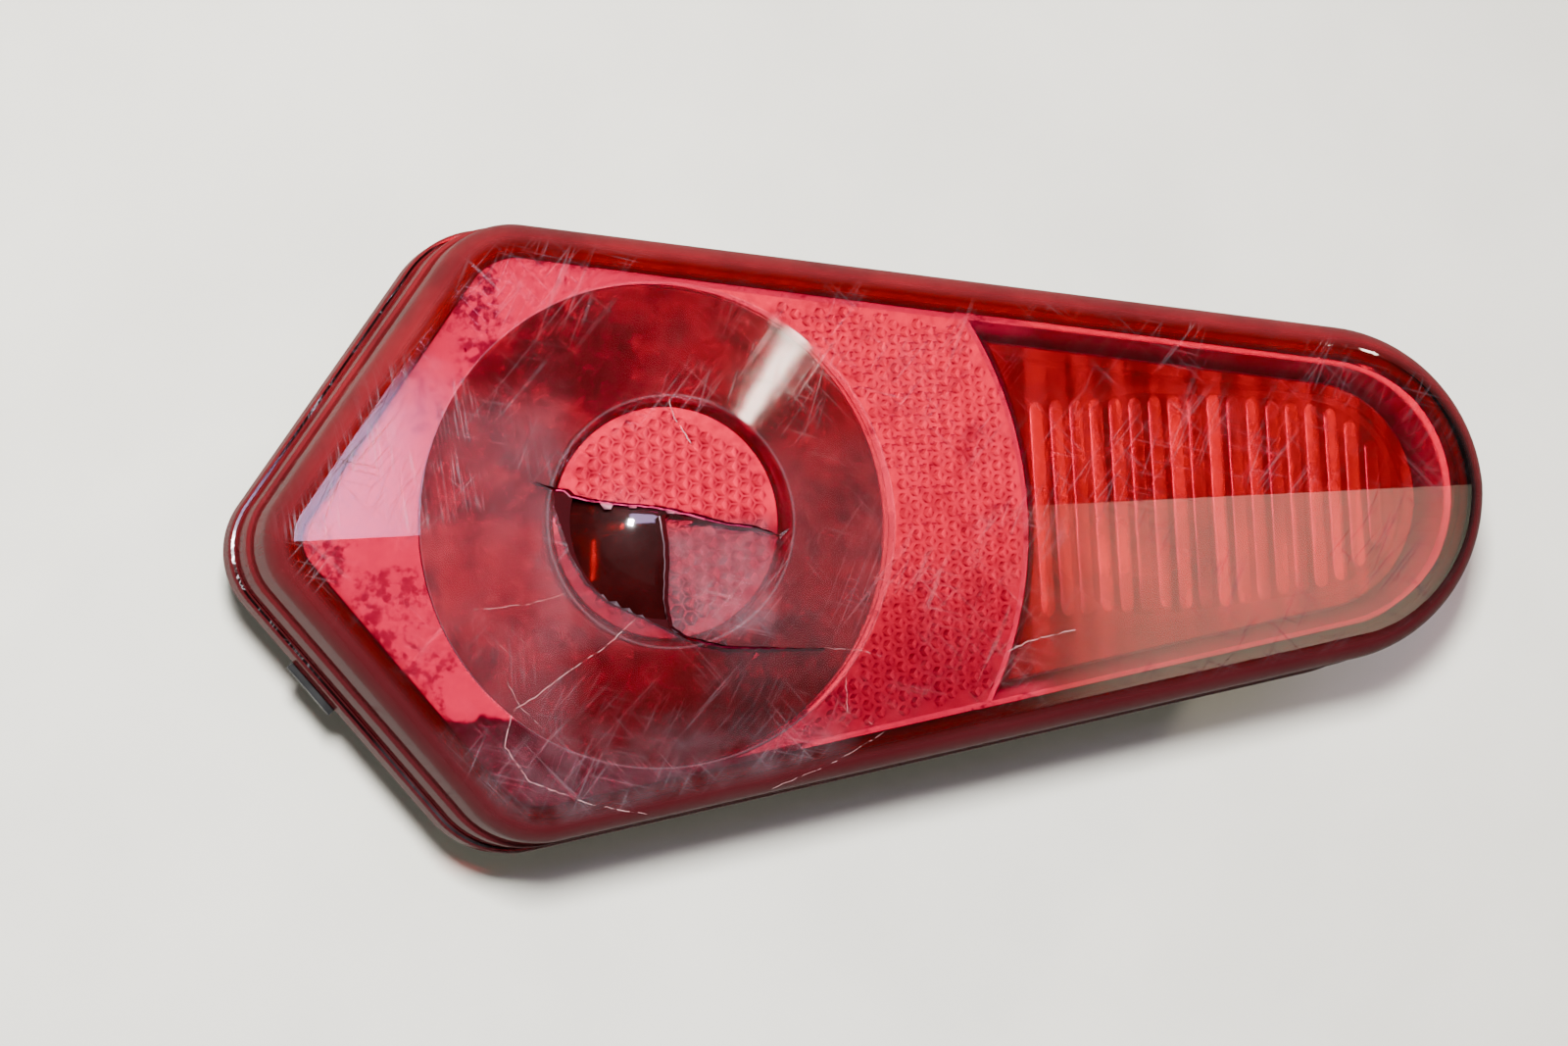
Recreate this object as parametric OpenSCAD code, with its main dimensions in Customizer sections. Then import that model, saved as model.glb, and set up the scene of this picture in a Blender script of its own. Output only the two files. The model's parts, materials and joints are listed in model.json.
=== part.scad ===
// Tail light with a kite-shaped red lens, a raised bullseye over the stop and tail bulb, a
// hexagonal reflex field and a fluted marker window. It lies on its three rear studs, lens up.
// Units are millimetres. The origin is the middle of the outline on the plane of the stud tips,
// +X runs from the pointed end to the round end and +Z out of the lens.

/* [Outline] */
// Main bulb axis to the pointed end
vertex_reach = 68.5; // [66:0.5:72]
// Main bulb axis to the round end
tip_reach = 154.5; // [148:0.5:160]
// Width across the shoulders
lens_w = 109; // [107:0.5:111]
// Corner radius of the pointed end
vertex_r = 14; // [13:0.2:15]
// Corner radius of the shoulders
shoulder_r = 17.2; // [16:0.2:19]
// Shoulder centres behind the main bulb axis
shoulder_back = 21.4; // [20:0.2:23]
// Radius of the round end
tip_r = 32; // [31:0.2:33]

/* [Lens] */
// Height of the lens ridge above the underside of its base band
lens_rise = 40.2; // [39:0.1:41]
// Height of the base band around the lens
band_h = 8; // [6:0.2:10]
// Slope of each half of the face away from the ridge, in degrees
face_slope = 3.1; // [2:0.1:3.5]
// Wall of the lens
lens_wall = 3; // [2.4:0.1:3.2]
// Radius of the bullseye where it leaves the face
bull_r = 41; // [40.5:0.1:41.5]
// Radius of the flat disc on top of the bullseye
disc_r = 21.2; // [20.8:0.1:21.6]
// Height of the disc above the face
bull_rise = 7.7; // [7:0.1:8]
// Show the lens with its disc broken open
damaged = true; // [true, false]

/* [Housing] */
// Length of the studs outside the mounting pads
stud_proud = 16; // [16:0.5:20]
// Thickness of the rubber mounting pads
pad_t = 2; // [1.5:0.5:3]
// Depth of the housing from its floor to its rim
housing_depth = 26.5; // [26:0.5:28]
// Wall of the housing
housing_wall = 2.5; // [2:0.1:2.5]
// Radius of the studs
stud_r = 3; // [2.5:0.5:3]

/* [Bulbs and sockets] */
// Main bulb axis to the marker bulb axis
marker_offset = 97; // [95:0.5:100]
// Radius of the main bulb's cap
cap_r = 7.5; // [7.45:0.01:7.5]
// Radius of the main bulb's glass
globe_r = 12.5; // [12:0.1:12.7]
// How far the main bulb can be pushed into its socket
push_travel = 2.5; // [2:0.1:2.5]
// Turn that frees a socket from the housing, in degrees
release_turn = 45; // [40:1:50]
// Radius of the main socket's neck
main_neck_r = 15.4; // [15:0.1:15.5]
// Radius of the marker socket's neck
marker_neck_r = 10.6; // [10.4:0.1:10.8]

/* [Hidden] */
$fn = 96;

eps = 0.01;                                     // overlap that keeps cuts clean
gap = 0.3;                                      // room between pieces that move apart
main_x = (vertex_reach - tip_reach) / 2;        // main bulb axis
marker_x = main_x + marker_offset;              // marker bulb axis

// Heights from the stud tips upward
floor_z = stud_proud + pad_t;                   // back of the housing
inside_z = floor_z + housing_wall;              // inner face of the housing floor
rim_z = floor_z + housing_depth;                // top of the housing rim
bead_t = 1.5;                                   // sealing bead
lens_z = rim_z + bead_t;                        // underside of the lens band
ridge_z = lens_z + lens_rise;                   // ridge of the lens face
plate_z = ridge_z - 8.7;                        // underside of the bezel plate
plate_t = 1.5;                                  // bezel plate
plate_top = plate_z + plate_t;

// The outline wraps these circles: [x, y, radius]
tip_circle = [main_x + tip_reach - tip_r, 0, tip_r];
shoulder_circle = [main_x - shoulder_back, lens_w / 2 - shoulder_r, shoulder_r];
vertex_circle = [main_x - vertex_reach + vertex_r, 0, vertex_r];

// Direction of the outward normal of the straight side that runs from circle p to circle q
function side_angle(p, q) =
    (atan2(q.y - p.y, q.x - p.x) + 360) % 360 - acos((p.z - q.z) / norm([q.x - p.x, q.y - p.y]));

long_side = side_angle(tip_circle, shoulder_circle);
short_side = side_angle(shoulder_circle, vertex_circle);

// Arc of circle c, drawn inset inside it, from angle a to angle b
function arc(c, inset, a, b, steps) =
    [for (i = [0:steps]) let (t = a + (b - a) * i / steps)
        [c.x + (c.z - inset) * cos(t), c.y + (c.z - inset) * sin(t)]];

// Upper half of the outline, from the round end to the pointed end
function half_outline(inset) = concat(
    arc(tip_circle, inset, 0, long_side, 12),
    arc(shoulder_circle, inset, long_side, short_side, 8),
    arc(vertex_circle, inset, short_side, 180, 5));

half_n = len(half_outline(0));

// Whole outline, counter-clockwise from the round end
function outline(inset) = let (h = half_outline(inset))
    concat(h, [for (i = [half_n - 2:-1:1]) [h[i].x, -h[i].y]]);

bull_n = 96;                                    // sides of the bullseye

// Height of the two-sided face at distance y from the ridge
function roof(y) = ridge_z - abs(y) * tan(face_slope);

// A ring of points at a fixed height, and one at a fixed drop below the face
function level(inset, z) = [for (p = outline(inset)) [p.x, p.y, z]];
function below_roof(inset, drop) = [for (p = outline(inset)) [p.x, p.y, roof(p.y) - drop]];

// Solid through a stack of rings, closed by two-sided ends that meet on the line y = 0.
// Point half - 1 of each ring is the one across from its first point.
module loft(rings, half) {
    n = len(rings[0]);
    m = len(rings);
    top = (m - 1) * n;
    polyhedron(
        points = [for (ring = rings) each ring],
        faces = concat(
            [[for (i = [0:half - 1]) i]],
            [concat([for (i = [half - 1:n - 1]) i], [0])],
            [for (k = [0:m - 2], i = [0:n - 1]) let (j = (i + 1) % n)
                each [[k * n + i, (k + 1) * n + i, (k + 1) * n + j], [k * n + i, (k + 1) * n + j, k * n + j]]],
            [[for (i = [half - 1:-1:0]) top + i]],
            [concat([top], [for (i = [n - 1:-1:half - 1]) top + i])]),
        convexity = 4);
}

module at_main() translate([main_x, 0, 0]) children();

module at_marker() translate([marker_x, 0, 0]) children();

module rotate_about_main(angle) at_main() rotate([0, 0, angle]) children();

// Straight-sided slab of the outline
module slab(inset, z0, z1) translate([0, 0, z0]) linear_extrude(z1 - z0) polygon(outline(inset));

// Drafted solid from one inset at its foot to another at its top
module drafted(foot_inset, z0, top_inset, z1) hull() {
    slab(foot_inset, z0, z0 + eps);
    slab(top_inset, z1 - eps, z1);
}

// Upright cylinder between two heights
module post(r, z0, z1) translate([0, 0, z0]) cylinder(r = r, h = z1 - z0);

// Upright tube between two heights
module tube(r_out, r_in, z0, z1) difference() {
    post(r_out, z0, z1);
    post(r_in, z0 - 1, z1 + 1);
}

// Upright block centred on the axis
module block(x, y, z0, z1) translate([-x / 2, -y / 2, z0]) cube([x, y, z1 - z0]);

// Circle about the main bulb axis that follows the face, lifted above it by rise
function round_ring(r, rise) =
    [for (i = [0:bull_n - 1]) let (t = 360 * i / bull_n) [main_x + r * cos(t), r * sin(t), roof(r * sin(t)) + rise]];

// Raised bullseye of base radius r0 and disc radius r1, from foot to top above the face
module bullseye(r0, r1, foot, top) {
    lip = 0.05;
    loft([round_ring(r0, foot), round_ring(r0, lip - (bull_rise - top)), round_ring(r1, top)], bull_n / 2 + 1);
}

/* Lens */

// Outline of the piece that is missing from the disc, about the main bulb axis
hole_outline = [
    [-19.7, 2.8], [-17.8, 5.8], [-16.2, 4.9], [-7.9, 3.2], [-1.9, 2.5], [-0.9, -3.4],
    [-1.2, -10], [-2.4, -16.9], [-7.2, -15], [-11.3, -12.9], [-14.9, -9.6], [-17.6, -4.5]
];

module missing_piece() if (damaged)
    at_main() translate([0, 0, ridge_z - 6]) linear_extrude(30) polygon(hole_outline);

module lens_outside() {
    loft([
        level(0, lens_z), level(0, lens_z + band_h - 0.6), level(0.7, lens_z + band_h),
        level(0.9, lens_z + 21), level(1.7, lens_z + 21.6), level(1.9, lens_z + 30),
        below_roof(2.1, 6.2), below_roof(2.6, 3.8), below_roof(3.6, 1.8), below_roof(4.9, 0.6),
        below_roof(6.4, 0)
    ], half_n);
    bullseye(bull_r, disc_r, -1, bull_rise);
}

module lens_inside() {
    w = lens_wall;
    loft([
        level(w + 0.2, lens_z - 1), level(w + 0.8, lens_z + 20), level(w + 1.9, lens_z + 30),
        below_roof(w + 2.2, w + 4.8), below_roof(w + 3, w + 2.4), below_roof(w + 4.4, w + 0.8),
        below_roof(w + 6, w)
    ], half_n);
    bullseye(bull_r - 1.1, disc_r - 1.1, -w - 1, bull_rise - w);
}

module outer_lens() color([0.72, 0.02, 0.05, 0.6]) difference() {
    lens_outside();
    lens_inside();
    missing_piece();
}

module sealing_bead() color([0.05, 0.05, 0.05]) difference() {
    slab(0.9, rim_z, lens_z);
    slab(3, rim_z - 1, lens_z + 1);
}

/* Housing */

// Stud places about the main bulb axis, and the places of the bezel posts and their screws
stud_places = [[133, 0], [-16, 32], [-16, -32]];
post_places = [[-46.5, 0], [50, 27], [50, -27]];
breather_place = [45, 0];
boss_top = inside_z + 6.5;                      // seat of the stud heads
shank_r = stud_r + 0.4;                         // part of each stud inside the housing
relief_w = 0.6;                                 // thread relief, clear of the pad

// A sector of a ring, centred on the angle at
module sector(r, half_angle, at, z0, z1) translate([0, 0, z0])
    rotate([0, 0, at - half_angle]) rotate_extrude(angle = 2 * half_angle) square([r, z1 - z0]);

// Round opening with notches that pass the lugs of a socket after its release turn
module lug_opening(neck_r, reach, lugs) {
    post(neck_r + gap, floor_z - 1, inside_z + 1);
    for (i = [0:lugs - 1])
        sector(neck_r + reach + 2 * gap, 14, i * 360 / lugs + release_turn, floor_z - 1, inside_z + 1);
}

module housing() color([0.06, 0.06, 0.065]) difference() {
    union() {
        difference() {
            union() {
                drafted(9, floor_z, 3.5, rim_z - 2);
                slab(0.8, rim_z - 3, rim_z);
            }
            drafted(11.5, inside_z, 6, rim_z + 1);
        }
        at_main() for (p = stud_places) translate(p) post(7, inside_z - eps, boss_top);
        at_main() translate(breather_place) post(2.5, floor_z - 5, floor_z + eps);
        // locating tab that shows past the band on the lower short side
        rotate_about_main(-short_side) translate([50, -20, rim_z - 2.5]) cube([8, 11, 2]);
    }
    at_main() lug_opening(main_neck_r, 2.2, 3);
    at_marker() lug_opening(marker_neck_r, 2.2, 2);
    at_main() for (p = stud_places) translate(p) post(shank_r + 0.05, floor_z - 1, boss_top + 1);
    at_main() for (p = post_places) translate(p) post(1.8, floor_z - 1, inside_z + 1);
    at_main() translate(breather_place) post(1.2, floor_z - 6, inside_z + 1);
}

// Threaded stud with a relief groove under the thicker shank that the housing grips
module mounting_studs() color([0.72, 0.7, 0.6]) at_main() for (p = stud_places) translate(p) {
    post(stud_r, 0, stud_proud - relief_w);
    post(stud_r - 0.4, stud_proud - relief_w - eps, stud_proud + 0.5);
    post(shank_r, stud_proud + 0.4, boss_top + eps);
    post(5.5, boss_top, boss_top + 2.5);
}

module stud_pads() color([0.08, 0.08, 0.08]) at_main() for (p = stud_places)
    translate(p) tube(8.5, shank_r + 0.2, stud_proud, floor_z);

module rear_screws() color([0.7, 0.7, 0.72]) at_main() for (p = post_places) translate(p) difference() {
    union() {
        post(3.6, floor_z - 2.4, floor_z);
        post(1.5, floor_z - eps, floor_z + 15);
    }
    for (turn = [0, 90]) rotate([0, 0, turn]) block(4, 0.9, floor_z - 3, floor_z - 1.2);
}

module breather_cap() color([0.1, 0.1, 0.1]) at_main() translate(breather_place) difference() {
    post(4.5, floor_z - 7, floor_z - 0.5);
    post(2.55, floor_z - 5.4, floor_z);
}

/* Bezel, reflex pieces and window */

arc_r = 67;                                     // inner edge of the window frame about the bulb
frame_drop = 8;                                 // depth of the window recess
window_z = plate_top - frame_drop;              // top of the fluted lens plate

// Space right of an arc about the main bulb axis that leans outward on its way down
module beyond_arc(r_top, r_foot) at_main() difference() {
    translate([0, -60, window_z - 4]) cube([180, 120, 20]);
    translate([0, 0, window_z - 4]) cylinder(r = r_foot, h = 4 + eps);
    translate([0, 0, window_z]) cylinder(r1 = r_foot, r2 = r_top, h = frame_drop);
    translate([0, 0, plate_top - eps]) cylinder(r = r_top, h = 20);
}

module window_recess(grow) intersection() {
    drafted(11.4 - grow, window_z - grow, 8.9 - grow, plate_top + (grow > 0 ? 0 : 1));
    beyond_arc(arc_r - grow, arc_r + 3 - grow);
}

module inner_bezel() color([0.85, 0.84, 0.82]) difference() {
    union() {
        slab(8, plate_z, plate_top);
        window_recess(1.2);
        at_main() for (p = post_places) translate(p) post(3.5, inside_z + 0.1, plate_z + eps);
    }
    window_recess(0);
    intersection() {
        slab(13.5, window_z - 3, window_z + 1);
        beyond_arc(arc_r, arc_r + 5);
    }
    at_main() post(bull_r - 0.7, plate_z - 1, plate_top + 1);
    at_main() for (p = post_places) translate(p) post(1.55, inside_z - 1, inside_z + 14);
}

module reflex_panel() color([0.8, 0.05, 0.1]) intersection() {
    difference() {
        slab(8.8, plate_top, plate_top + 1.2);
        at_main() post(bull_r + 0.5, plate_top - 1, plate_top + 2);
    }
    at_main() post(arc_r - 0.8, plate_top - 1, plate_top + 2);
    at_main() translate([18, -60, plate_top - 1]) cube([60, 120, 3]);
}

hood_top = ridge_z + 2.2;                       // rim of the hood, under the reflex insert

module centre_reflex_insert() color([0.85, 0.1, 0.2]) difference() {
    at_main() post(19.3, hood_top, hood_top + 1.1);
    missing_piece();
}

flute_pitch = 3.7;
flute_n = 18;
flute_l = 38;                                   // length of the middle flutes

// Ribbed zone of the fluted lens, which narrows with the round end
module flutes() difference() {
    intersection() {
        at_main() translate([72, 0, window_z - 0.2]) for (i = [0:flute_n - 1])
            translate([i * flute_pitch, flute_l / 2, 0]) rotate([90, 0, 0]) cylinder(r = 1.45, h = flute_l);
        slab(15, window_z - 0.6, window_z + 3);
    }
    at_main() post(arc_r + 5.5, window_z - 2, window_z);
}

module fluted_lens() color([0.85, 0.15, 0.18, 0.8]) {
    intersection() {
        slab(11.7, window_z, window_z + 1);
        beyond_arc(arc_r + 3.3, arc_r + 3.3);
    }
    flutes();
}

// Hull of two discs along the window
module oval(x0, r0, x1, r1, z) at_main() {
    translate([x0, 0, z]) cylinder(r = r0, h = 0.5, $fn = 48);
    translate([x1, 0, z]) cylinder(r = r1, h = 0.5, $fn = 48);
}

module window_reflector() color([0.8, 0.8, 0.8]) difference() {
    bowl_top = window_z - 2;
    bowl_foot = inside_z + 9.5;
    hull() {
        oval(92, 21, 122, 18.5, bowl_top - 0.5);
        oval(marker_offset - 1, 13.5, marker_offset + 1, 13.5, bowl_foot);
    }
    hull() {
        oval(92, 19.8, 122, 17.3, bowl_top);
        oval(marker_offset - 1, 12.3, marker_offset + 1, 12.3, bowl_foot + 1.2);
    }
    at_marker() post(11, bowl_foot - 1, bowl_foot + 3);
}

/* Main lamp */

dome_seat = hood_top - 8.9;                     // underside of the dome's rim
dome_rise = 6;
dome_r = 16;
dome_sphere = (dome_r * dome_r + dome_rise * dome_rise) / (2 * dome_rise);

module lamp_hood() color([0.03, 0.03, 0.03]) at_main() rotate_extrude() polygon([
    [17.2, inside_z + 21.5], [19.5, inside_z + 21.5], [19.5, hood_top - 3.6], [39.2, plate_z - 1.5],
    [42.2, plate_z - 1.5], [42.2, plate_z - 0.1], [40.1, plate_z - 0.1], [40.1, plate_top],
    [19.5, hood_top - 1], [19.5, hood_top], [16.2, hood_top], [16.2, dome_seat + 2.5], [17.2, dome_seat + 2.5]
]);

module condenser_dome() color([0.75, 0.75, 0.75, 0.5]) at_main() {
    post(17, dome_seat, dome_seat + 2.4);
    intersection() {
        translate([0, 0, dome_seat + 2.4 + dome_rise - dome_sphere]) sphere(r = dome_sphere);
        post(dome_r, dome_seat + 2, dome_seat + 10);
    }
}

// Flared sleeve from the bulb's waist to the dome
module main_reflector() color([0.88, 0.88, 0.9]) at_main() {
    z0 = inside_z + 23.5;
    z1 = dome_seat - 0.1;
    flare = [for (i = [0:6]) [13.4 + 2.6 * sqrt(i / 6), z0 + (z1 - z0) * i / 6]];
    rotate_extrude() polygon(concat(
        flare, [[17.1, z1], [17.1, z1 - 1]], [for (i = [5:-1:1]) flare[i] + [0.8, 0]],
        [[17.1, z0 + 1], [17.1, z0]]));
}

cap_z = inside_z + 10.5;                        // bottom edge of the cap
cap_top = cap_z + 17;
globe_z = cap_z + 33;                           // centre of the glass

module glass_form(shrink) {
    translate([0, 0, globe_z]) sphere(r = globe_r - shrink);
    post(7 - shrink, cap_top - 8 - shrink, cap_top + 2);
    translate([0, 0, cap_top + 1.5]) cylinder(r1 = 7 - shrink, r2 = 10.4 - shrink, h = 7.5);
}

module main_bulb_glass() color([0.9, 0.9, 0.9, 0.4]) at_main() difference() {
    glass_form(0);
    glass_form(0.8);
}

module main_bulb_cap() color([0.76, 0.62, 0.3]) at_main() difference() {
    post(cap_r, cap_z, cap_top);
    post(7.1, cap_z + 1, cap_top + 1);
}

// The two bayonet pins sit at different heights, so that the bulb fits one way round
pin_z = [cap_z + 5, cap_z + 8];
pin_turn = [90, 270];

module main_bulb_pins() color([0.76, 0.62, 0.3]) at_main() for (i = [0, 1])
    rotate([0, 90, pin_turn[i]]) translate([-pin_z[i], 0, cap_r - 0.3]) cylinder(r = 1, h = 1, $fn = 32);

module main_bulb_stem() color([0.85, 0.85, 0.85, 0.6]) at_main() {
    post(3, cap_top - 7, cap_top + 3);
    translate([0, 0, cap_top + 3]) cylinder(r1 = 3, r2 = 1.5, h = 2.5);
}

// Filament coils on pairs of support wires
module main_bulb_filaments() color([0.6, 0.6, 0.62]) at_main() for (f = [[2.2, 0, 14], [-1.2, 90, 11]])
    rotate([0, 0, f[1]]) {
        for (side = [-1, 1]) translate([side * 2.6, f[0] > 0 ? 0.9 : -0.9, 0])
            post(0.3, cap_top + 3.2, cap_top + f[2] + 0.4);
        translate([-2.9, f[0] > 0 ? 0.9 : -0.9, cap_top + f[2]]) rotate([0, 90, 0])
            cylinder(r = 0.55, h = 5.8, $fn = 32);
    }

module main_bulb_insulator() color([0.1, 0.1, 0.12]) at_main() post(6.6, cap_z - 1.6, cap_z);

contact_x = 3;                                  // contacts either side of the bulb axis
contact_z = cap_z - 2.6;                        // face of the bulb's contacts

module main_bulb_contacts() color([0.7, 0.7, 0.7]) at_main() for (side = [-1, 1])
    translate([side * contact_x, 0, 0]) post(1.7, contact_z, cap_z - 1.6);

/* Main socket */

flange_z = floor_z - 1.5;                       // seal face of both sockets
socket_foot = 3;                                // open end of both connector cups
well_z = contact_z - push_travel - 0.6;         // floor of the shell's well
shelf_z = well_z - 1.5;                         // underside of the plate over the springs
pocket_z = flange_z - 1;                        // foot of the springs
collar_z = shelf_z - 2.3;                       // underside of the plunger collars
lug_z = inside_z + gap;
lug_top = lug_z + 3;

// Neck, flange, lugs and connector cup that both sockets share
module socket_outside(neck_r, flange_r, lugs, cup_x, cup_y) {
    post(flange_r, flange_z - 3, flange_z);
    post(neck_r, flange_z - eps, lug_top);
    for (i = [0:lugs - 1]) sector(neck_r + 2.2, 11, i * 360 / lugs, lug_z, lug_top);
    block(cup_x, cup_y, socket_foot, flange_z - 2);
    // finger grips
    for (turn = [0:60:300]) rotate([0, 0, turn]) translate([flange_r - 2, 0, 0])
        block(4, 2.4, flange_z - 5.5, flange_z - 2.9);
}

module connector_cup(x, y) block(x, y, socket_foot - 1, flange_z - 4.5);

module main_socket_body() color([0.12, 0.12, 0.13]) at_main() difference() {
    union() {
        socket_outside(main_neck_r, 19, 3, 24, 13);
        post(11.5, lug_top - eps, inside_z + 20);
    }
    connector_cup(21, 10);
    post(8.35, well_z, inside_z + 21);
    for (side = [-1, 1]) translate([side * contact_x, 0, 0]) {
        post(2.4, pocket_z, shelf_z);
        post(1.66, shelf_z - 1, well_z + 1);
    }
}

// Bayonet sleeve, with a slot for each pin: in from the top, round, and back up to its stop
module main_socket_shell() color([0.8, 0.78, 0.72]) at_main() difference() {
    tube(8.3, cap_r + 0.06, well_z, inside_z + 20.6);
    for (i = [0, 1]) rotate([0, 0, pin_turn[i]]) {
        foot = pin_z[i] - push_travel - 1 - gap;
        translate([6.5, -1.3, foot]) cube([4, 2.6, push_travel + 2 + gap + 0.1]);
        rotate([0, 0, 12.5]) translate([5, -2.4, foot + 0.05]) cube([6, 4.8, 2.5]);
        rotate([0, 0, 25]) translate([6.5, -1.3, foot + 0.1]) cube([4, 2.6, 30]);
    }
}

module main_socket_terminals() color([0.78, 0.72, 0.55]) at_main() for (x = [-6.5, 0, 6.5])
    translate([x, 0, 0]) block(2.8, 0.8, socket_foot + 4.6, pocket_z - 0.1);

module main_socket_gasket() color([0.2, 0.2, 0.2]) at_main()
    tube(18.6, main_neck_r + 0.05, flange_z, floor_z - gap);

module contact_plungers() color([0.8, 0.7, 0.4]) at_main() for (side = [-1, 1])
    translate([side * contact_x, 0, 0]) {
        post(1.6, shelf_z - 1, contact_z - 0.1);
        post(2.1, collar_z, shelf_z - gap);
    }

// Coil spring that stands on z0: a wire of radius w wound at radius r
module coil(r, w, z0, z1, turns) {
    per_turn = 16;
    sides = 6;
    steps = turns * per_turn;
    rise = z1 - z0 - 2 * w;
    wire_ring = function(i) let (t = 360 * i / per_turn)
        [for (k = [0:sides - 1]) let (c = 360 * k / sides, q = r + w * cos(c))
            [q * cos(t), q * sin(t), z0 + w + rise * i / steps + w * sin(c)]];
    polyhedron(
        points = [for (i = [0:steps]) each wire_ring(i)],
        faces = concat(
            [[for (k = [0:sides - 1]) k]],
            [for (i = [0:steps - 1], k = [0:sides - 1]) let (a = i * sides, b = a + sides, j = (k + 1) % sides)
                each [[a + k, b + k, b + j], [a + k, b + j, a + j]]],
            [[for (k = [sides - 1:-1:0]) steps * sides + k]]),
        convexity = 8);
}

module plunger_springs() color([0.7, 0.7, 0.7]) at_main() for (side = [-1, 1])
    translate([side * contact_x, 0, 0]) coil(1.6, 0.35, pocket_z, collar_z, 5);

/* Marker lamp */

wedge_z = inside_z + 4.5;
wedge_top = wedge_z + 8;

module marker_bulb_form(shrink) {
    post(5.1 - shrink, wedge_top + gap + shrink, wedge_top + 14);
    translate([0, 0, wedge_top + 14]) sphere(r = 5.1 - shrink);
}

module marker_bulb_glass() color([0.9, 0.9, 0.9, 0.4]) at_marker() {
    difference() {
        marker_bulb_form(0);
        marker_bulb_form(0.6);
    }
    block(9.2, 2.4, wedge_z, wedge_top + gap + eps);
}

module marker_bulb_filament() color([0.6, 0.6, 0.62]) at_marker() {
    for (side = [-1, 1]) translate([side * 2, 0, 0]) post(0.25, wedge_top + 1, wedge_top + 9.3);
    translate([-2.3, 0, wedge_top + 9]) rotate([0, 90, 0]) cylinder(r = 0.45, h = 4.6, $fn = 32);
}

module marker_socket_body() color([0.12, 0.12, 0.13]) at_marker() difference() {
    union() {
        socket_outside(marker_neck_r, 14.5, 2, 14, 12);
        post(8.6, lug_top - eps, wedge_top);
    }
    connector_cup(11, 9);
    block(10, 5, wedge_z - 0.5, wedge_top + 1);
}

// Spring clips that grip the wedge and run down as terminals
module marker_socket_contacts() color([0.78, 0.72, 0.55]) at_marker() for (side = [-1, 1])
    translate([0, side * 1.8, 0]) {
        block(2.8, 0.6, socket_foot + 4.6, wedge_z);
        block(6, 0.6, wedge_z - 0.4, wedge_top - 0.5);
    }

module marker_socket_gasket() color([0.2, 0.2, 0.2]) at_marker()
    tube(14, marker_neck_r + 0.05, flange_z, floor_z - gap);

outer_lens();
sealing_bead();
housing();
inner_bezel();
reflex_panel();
centre_reflex_insert();
fluted_lens();
lamp_hood();
condenser_dome();
main_reflector();
window_reflector();
main_bulb_glass();
main_bulb_cap();
main_bulb_pins();
main_bulb_stem();
main_bulb_filaments();
main_bulb_insulator();
main_bulb_contacts();
main_socket_body();
main_socket_shell();
main_socket_terminals();
main_socket_gasket();
contact_plungers();
plunger_springs();
marker_bulb_glass();
marker_bulb_filament();
marker_socket_body();
marker_socket_contacts();
marker_socket_gasket();
mounting_studs();
stud_pads();
rear_screws();
breather_cap();
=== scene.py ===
import json
import math
import random

import bmesh
import bpy
from mathutils import Matrix, Vector, geometry, noise


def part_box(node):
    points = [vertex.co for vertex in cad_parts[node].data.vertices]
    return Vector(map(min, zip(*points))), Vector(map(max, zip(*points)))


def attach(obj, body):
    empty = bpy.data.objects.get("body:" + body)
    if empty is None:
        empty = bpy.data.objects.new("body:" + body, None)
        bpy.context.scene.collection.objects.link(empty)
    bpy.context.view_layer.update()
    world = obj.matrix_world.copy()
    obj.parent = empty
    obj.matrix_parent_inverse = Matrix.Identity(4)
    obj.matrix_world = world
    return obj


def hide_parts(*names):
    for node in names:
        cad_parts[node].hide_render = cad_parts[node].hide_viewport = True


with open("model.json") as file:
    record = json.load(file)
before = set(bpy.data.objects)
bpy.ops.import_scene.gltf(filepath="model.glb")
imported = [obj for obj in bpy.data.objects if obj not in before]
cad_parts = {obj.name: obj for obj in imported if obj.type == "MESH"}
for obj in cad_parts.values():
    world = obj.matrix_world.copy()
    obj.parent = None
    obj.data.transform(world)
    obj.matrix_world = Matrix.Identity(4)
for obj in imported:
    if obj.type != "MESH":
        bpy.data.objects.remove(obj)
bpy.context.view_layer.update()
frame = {"nodes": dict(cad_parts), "record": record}

MM = 0.001


def span(node):
    """Lowest and highest corner of a CAD node, in millimetres."""
    low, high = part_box(node)
    return low / MM, high / MM


# ---------------------------------------------------------------- places, from the frame
lens_low, lens_high = span("outer_lens")
dome_low, dome_high = span("condenser_dome")
plate_low, plate_high = span("reflex_panel")
insert_low, insert_high = span("centre_reflex_insert")
flutes_low, flutes_high = span("fluted_lens")
MAIN_X = (dome_low.x + dome_high.x) / 2

# ---------------------------------------------------------------- the lens's driving sizes, in mm
VERTEX_R, SHOULDER_R, TIP_R = 14.0, 17.2, 32.0
SHOULDER_BACK = 21.4
HALF_W = lens_high.y
FACE_SLOPE = math.radians(3.1)
WALL = 3.0
BULL_R, DISC_R, BULL_RISE = 41.0, 21.2, 7.7
BULL_STEP = 1.1                             # how much smaller the bullseye is on the inside of the wall
BAND_H = 8.0
RIDGE_Z = lens_high.z - BULL_RISE
LENS_Z = lens_low.z
FACE_INSET, INNER_FACE_INSET = 6.4, WALL + 6


# ================================================================ outline and face
def side_angle(p, q):
    """Direction of the outward normal of the straight side from circle p to circle q."""
    dx, dy = q[0] - p[0], q[1] - p[1]
    return math.atan2(dy, dx) % math.tau - math.acos((p[2] - q[2]) / math.hypot(dx, dy))


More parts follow.
